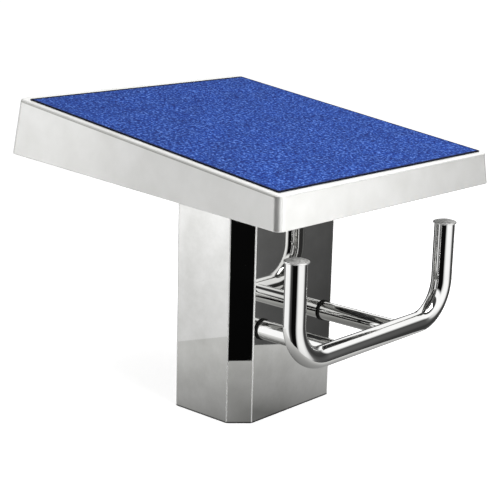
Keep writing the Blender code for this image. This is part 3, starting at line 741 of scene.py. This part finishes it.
def column_corners(inset):
    """Corners of the folded sheet seen from above, the two in front cut at 45 degrees."""
    half_x = COLUMN_WIDTH / 2 - inset
    half_y = COLUMN_DEPTH / 2 - inset
    chamfer = COLUMN_CHAMFER - inset * (2 - math.sqrt(2))
    return (
        (chamfer - half_x, -half_y),
        (half_x - chamfer, -half_y),
        (half_x, chamfer - half_y),
        (half_x, half_y),
        (-half_x, half_y),
        (-half_x, chamfer - half_y),
    )


def column_outline(inset):
    radius = max(COLUMN_BEND_RADIUS - inset, COLUMN_BEND_RADIUS_INSIDE)
    return filleted(column_corners(inset), radius, COLUMN_BEND_STEPS)


def head_height(y):
    """Height of the column's top, which slopes with the platform."""
    rise = (y - FRONT_EDGE_Y) * math.tan(PLATFORM_SLOPE)
    return FRONT_EDGE_Z + rise + COLUMN_TOP_LEVEL / math.cos(PLATFORM_SLOPE)


def column_shell(finish):
    """The folded sheet, open at the foot and the head, without the opening that the cover hides."""
    outer = column_outline(0.0)
    inner = column_outline(COLUMN_WALL)
    rings = [
        [(x, y, 0.0) for x, y in inner],
        [(x, y, 0.0) for x, y in outer],
        [(x, y, head_height(y)) for x, y in outer],
        [(x, y, head_height(y)) for x, y in inner],
    ]
    made = piece("column", rings, finish, closed=True, flat_faces=True)
    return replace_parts(made, "column_shell")


# Grip


def circle_about(centre, across, up, radius, sides=TUBE_SIDES):
    """A ring of points about a centre, in the plane of two unit vectors."""
    ring = []
    for i in range(sides):
        angle = math.tau * i / sides
        ring.append(centre + radius * (math.cos(angle) * across + math.sin(angle) * up))
    return ring


def grip_path():
    """Centre line of the bar as (x, z, heading), from the left top round to the right."""
    half = GRIP_SPREAD / 2
    top = GRIP_TOP_Z - CAP_CROWN - CAP_LIP_HEIGHT - GAP
    path = [(-half, top, -math.pi / 2)]
    for side, start in ((-1, math.pi), (1, 1.5 * math.pi)):
        for step in range(BEND_STEPS + 1):
            angle = start + math.pi / 2 * step / BEND_STEPS
            x = side * (half - GRIP_BEND_RADIUS) + GRIP_BEND_RADIUS * math.cos(angle)
            z = GRIP_Z + GRIP_BEND_RADIUS + GRIP_BEND_RADIUS * math.sin(angle)
            path.append((x, z, angle + math.pi / 2))
    path.append((half, top, math.pi / 2))
    return path


def grip_bar(finish):
    """The U-shaped tube, swept along its centre line outside and inside."""

    def ring(place, radius):
        x, z, heading = place
        outward = Vector((math.sin(heading), 0.0, -math.cos(heading)))
        return circle_about(Vector((x, GRIP_Y, z)), outward, Vector((0.0, 1.0, 0.0)), radius)

    path = grip_path()
    rings = [ring(place, TUBE_RADIUS) for place in path]
    rings += [ring(place, TUBE_RADIUS - TUBE_WALL) for place in reversed(path)]
    made = piece("grip_tube", rings, finish, closed=True)
    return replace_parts(made, "grip_bar")


def cope(z):
    """Where an arm's end stops at a height: round the bar, or under it."""
    reach = TUBE_RADIUS + GAP
    return GRIP_Y + math.sqrt(max(reach**2 - (z - GRIP_Z) ** 2, 0.0))


def grip_arm(word, x, finish):
    """Straight tube from the column's face, coped round the bar."""
    root = -COLUMN_DEPTH / 2 - RING_THICKNESS - 2 * GAP

    def ring(radius, coped):
        points = []
        for i in range(TUBE_SIDES):
            angle = math.tau * i / TUBE_SIDES
            z = ARM_Z + radius * math.sin(angle)
            y = cope(z) if coped else root
            points.append((x + radius * math.cos(angle), y, z))
        return points

    bore = ARM_RADIUS - ARM_WALL
    rings = [ring(ARM_RADIUS, False), ring(ARM_RADIUS, True), ring(bore, True), ring(bore, False)]
    made = piece(f"arm_tube_{word}", rings, finish, closed=True)
    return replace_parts(made, f"grip_arm_{word}")


def grip_ring(word, x, finish):
    """Rounded rubber ring between an arm and the column."""
    near = -COLUMN_DEPTH / 2 - GAP
    flat_radius = RING_RADIUS - RING_ROUND_OFF
    profile = [(RING_BORE, near)]
    rear_arc = (near - RING_ROUND_OFF, math.pi / 2)
    front_arc = (near - RING_THICKNESS + RING_ROUND_OFF, 0.0)
    for centre_y, start in (rear_arc, front_arc):
        for step in range(SMALL_STEPS + 1):
            angle = start - math.pi / 2 * step / SMALL_STEPS
            radius = flat_radius + RING_ROUND_OFF * math.cos(angle)
            profile.append((radius, centre_y + RING_ROUND_OFF * math.sin(angle)))
    profile.append((RING_BORE, near - RING_THICKNESS))
    rings = [
        circle_about(Vector((x, y, ARM_Z)), Vector((1.0, 0.0, 0.0)), Vector((0.0, 0.0, 1.0)), radius)
        for radius, y in profile
    ]
    made = piece(f"arm_ring_{word}", rings, finish, closed=True)
    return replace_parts(made, f"grip_gasket_{word}")


def end_cap(word, x, finish):
    """Lipped, slightly crowned cap in an upturned end."""
    rim = GRIP_TOP_Z - CAP_CROWN
    seat = rim - CAP_LIP_HEIGHT
    lip = TUBE_RADIUS + CAP_LIP
    spigot = TUBE_RADIUS - TUBE_WALL - GAP
    foot = seat - CAP_SPIGOT
    profile = [(spigot - CAP_CHAMFER, foot), (spigot, foot + CAP_CHAMFER), (spigot, seat)]
    profile += [(lip - CAP_CHAMFER / 2, seat), (lip, seat + CAP_CHAMFER / 2), (lip, rim - CAP_CHAMFER)]
    for share in CAP_CROWN_SHARES:
        profile.append((lip * share, rim + CAP_CROWN * (1 - share**2)))
    rings = [
        circle_about(Vector((x, GRIP_Y, z)), Vector((1.0, 0.0, 0.0)), Vector((0.0, 1.0, 0.0)), radius)
        for radius, z in profile
    ]
    made = piece(f"cap_{word}", rings, finish)
    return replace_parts(made, f"end_cap_{word}")


# Studio


def ray_share(nodes, *kinds):
    """1 on rays of the given kinds, 0 on others."""
    path = nodes.node("ShaderNodeLightPath")
    share = path.outputs[kinds[0]]
    for kind in kinds[1:]:
        share = nodes.math("MAXIMUM", share, path.outputs[kind])
    return share


def shades_round(nodes, turn, shades):
    """Grey shades by azimuth, where a turn of 0 to 1 stands for -180 to 180 degrees."""
    return nodes.ramp(turn, [((degrees + 180.0) / 360.0, (shade,) * 3) for degrees, shade in shades])


def shifted_between(nodes, elevation, azimuth, low, high, shift):
    """The elevation, with a shift added between two azimuths."""
    above_low = nodes.math("GREATER_THAN", azimuth, low)
    inside = nodes.math("MULTIPLY", above_low, nodes.math("LESS_THAN", azimuth, high))
    return nodes.math("ADD", elevation, nodes.math("MULTIPLY", inside, shift))


def studio_world():
    """White behind the object, a soft fill as light, and light and dark panels in mirrors."""
    world = bpy.data.worlds.new("studio")
    bpy.context.scene.world = world
    world.use_nodes = True
    nodes = Nodes(world.node_tree)
    x, y, z = nodes.split(nodes.node("ShaderNodeTexCoord").outputs["Generated"])
    azimuth = nodes.math("DEGREES", nodes.math("ARCTAN2", x, nodes.math("MULTIPLY", y, -1.0)))
    elevation = nodes.math("DEGREES", nodes.math("ARCSINE", z))
    turn = nodes.ranged(azimuth, (-180.0, 180.0), SHARE)

    horizon = nodes.ranged(elevation, HORIZON_ELEVATIONS, HORIZON_SHADES)
    panels = nodes.mixed(1.0, shades_round(nodes, turn, SEEN_ROUND), horizon, "MULTIPLY")
    band_height = shifted_between(nodes, elevation, azimuth, *BAND_LOW)
    above = nodes.ranged(band_height, BAND_TOP, SHARE, smooth=True)
    ceiling_height = shifted_between(nodes, elevation, azimuth, *CEILING_HIGH)
    overhead = nodes.ranged(ceiling_height, CEILING_EDGE, (1.0, CEILING_SHADE), smooth=True)
    mirrored = nodes.background(nodes.mixed(above, panels, overhead), 1.0)

    upward = nodes.ranged(elevation, FILL_ELEVATIONS, SHARE, smooth=True)
    round_about = shades_round(nodes, turn, FILL_ROUND)
    fill = nodes.background(nodes.mixed(upward, round_about, PLAIN_WHITE), FILL)

    surface = nodes.mixed_shader(ray_share(nodes, "Is Glossy Ray"), fill, mirrored)
    seen = ray_share(nodes, "Is Camera Ray", "Is Transmission Ray")
    surface = nodes.mixed_shader(seen, surface, nodes.background(PLAIN_WHITE, 1.0))
    nodes.link(surface, world.node_tree.nodes["World Output"].inputs["Surface"])


def stage_mesh(name, points, faces, material):
    """A mesh that belongs to the studio."""
    mesh = bpy.data.meshes.new(name)
    mesh.from_pydata(points, [], faces)
    mesh.materials.append(material)
    made = bpy.data.objects.new(name, mesh)
    bpy.context.scene.collection.objects.link(made)
    return made


def stage_material(name):
    """A material with nothing joined to its output yet, and its nodes."""
    material = bpy.data.materials.new(name)
    material.use_nodes = True
    nodes = Nodes(material.node_tree)
    nodes.tree.nodes.remove(nodes.tree.nodes["Principled BSDF"])
    return material, nodes


def floor():
    """Pale floor that keeps the object's shadow, is white elsewhere, and is clear from below."""
    material, nodes = stage_material("floor")
    paint = nodes.node("ShaderNodeBsdfDiffuse")
    nodes.feed(FLOOR_PAINT, paint.inputs["Color"])
    lifted = nodes.node("ShaderNodeAddShader")
    nodes.link(paint.outputs[0], lifted.inputs[0])
    nodes.link(nodes.glow(PLAIN_WHITE, FLOOR_GLOW), lifted.inputs[1])
    seen = ray_share(nodes, "Is Camera Ray", "Is Transmission Ray", "Is Glossy Ray")
    surface = nodes.mixed_shader(seen, paint.outputs[0], lifted.outputs[0])
    below = nodes.node("ShaderNodeNewGeometry").outputs["Backfacing"]
    surface = nodes.mixed_shader(below, surface, nodes.node("ShaderNodeBsdfTransparent").outputs[0])
    nodes.link(surface, nodes.tree.nodes["Material Output"].inputs["Surface"])
    corners = ((-1, -1), (1, -1), (1, 1), (-1, 1))
    points = [(x * FLOOR_REACH, y * FLOOR_REACH, 0.0) for x, y in corners]
    made = stage_mesh("floor", points, [(0, 1, 2, 3)], material)
    made.visible_glossy = False


def mirrored_patch():
    """What mirrors show of the floor: a grey patch round the foot, lighter along one line."""
    material, nodes = stage_material("patch")
    place = nodes.node("ShaderNodeNewGeometry").outputs["Position"]
    distance = nodes.vector("LENGTH", place)
    reach = PATCH_SHADES[-1][0]
    stops = [(radius / reach, (v, v, v * PATCH_BLUE_SHARE)) for radius, v in PATCH_SHADES]
    shade = nodes.ramp(nodes.math("DIVIDE", distance, reach), stops)
    towards = nodes.vector("DOT_PRODUCT", nodes.vector("NORMALIZE", place), PATCH_BRIGHT_LINE)
    lift = nodes.ranged(nodes.math("ABSOLUTE", towards), PATCH_BRIGHT_COSINES, (0.0, PATCH_LIFT))
    surface = nodes.glow(nodes.mixed(1.0, shade, lift, "ADD"), 1.0)
    nodes.link(surface, nodes.tree.nodes["Material Output"].inputs["Surface"])
    points = [(x, y, PATCH_HEIGHT) for x, y in PATCH_OUTLINE]
    patch = stage_mesh("patch", points, [tuple(range(len(points)))], material)
    patch.visible_camera = False
    patch.visible_diffuse = False
    patch.visible_shadow = False
    patch.visible_transmission = False


def softbox(name, location, aim, width, height, radiance, mirrored):
    """A rectangular lamp of a given brightness, turned to a point."""
    data = bpy.data.lights.new(name, "AREA")
    data.shape = "RECTANGLE"
    data.size = width
    data.size_y = height
    data.energy = radiance * math.pi * width * height
    lamp = bpy.data.objects.new(name, data)
    bpy.context.scene.collection.objects.link(lamp)
    lamp.location = location
    away = Vector(location) - Vector(aim)
    lamp.rotation_euler = away.to_track_quat("Z", "Y").to_euler()
    lamp.visible_camera = False
    lamp.visible_glossy = mirrored


def camera():
    """The fitted camera, from its place, azimuth, elevation and roll."""
    data = bpy.data.cameras.new("camera")
    data.lens = CAMERA_LENS
    data.sensor_width = CAMERA_SENSOR
    made = bpy.data.objects.new("camera", data)
    bpy.context.scene.collection.objects.link(made)
    azimuth, elevation = CAMERA_AZIMUTH, CAMERA_ELEVATION
    back = Vector(
        (
            math.sin(azimuth) * math.cos(elevation),
            -math.cos(azimuth) * math.cos(elevation),
            math.sin(elevation),
        )
    )
    level = (-back).cross(Vector((0.0, 0.0, 1.0))).normalized()
    upright = level.cross(-back)
    right = math.cos(CAMERA_ROLL) * level + math.sin(CAMERA_ROLL) * upright
    up = math.cos(CAMERA_ROLL) * upright - math.sin(CAMERA_ROLL) * level
    turn = Matrix((right, up, back)).transposed().to_4x4()
    made.matrix_world = Matrix.Translation(CAMERA_LOCATION) @ turn
    bpy.context.scene.camera = made


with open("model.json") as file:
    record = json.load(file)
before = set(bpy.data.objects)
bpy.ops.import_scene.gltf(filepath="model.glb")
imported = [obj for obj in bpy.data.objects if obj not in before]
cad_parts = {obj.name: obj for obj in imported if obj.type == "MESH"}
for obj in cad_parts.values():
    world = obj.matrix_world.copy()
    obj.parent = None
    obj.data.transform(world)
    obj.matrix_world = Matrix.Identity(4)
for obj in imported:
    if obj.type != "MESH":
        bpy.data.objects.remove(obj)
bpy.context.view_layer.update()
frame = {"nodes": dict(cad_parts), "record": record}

finishes = {
    "white_moulding": white_moulding(),
    "blue_grit": blue_grit(),
    "laminate": laminate(),
    "satin_steel": satin_steel(),
    "polished_steel": polished_steel(),
    "zinc_steel": zinc_steel(),
    "black_rubber": black_rubber(),
}
for entry in frame["record"]["subparts"]:
    for slot in frame["nodes"][entry["node"]].material_slots:
        slot.material = finishes[entry["material_slot"]]

platform_shell(finishes["white_moulding"])
antislip_pad(finishes["blue_grit"])
column_shell(column_steel())
caps = cap_steel()
grip_bar(finishes["polished_steel"])
for word, side in (("left", -1), ("right", 1)):
    grip_arm(word, side * ARM_SPREAD / 2, finishes["polished_steel"])
    grip_ring(word, side * ARM_SPREAD / 2, finishes["black_rubber"])
    end_cap(word, side * GRIP_SPREAD / 2, caps)

camera()
studio_world()
floor()
mirrored_patch()
for lamp_name, lamp_values in LAMPS.items():
    softbox(lamp_name, *lamp_values)
bpy.context.scene.view_settings.view_transform = "Standard"
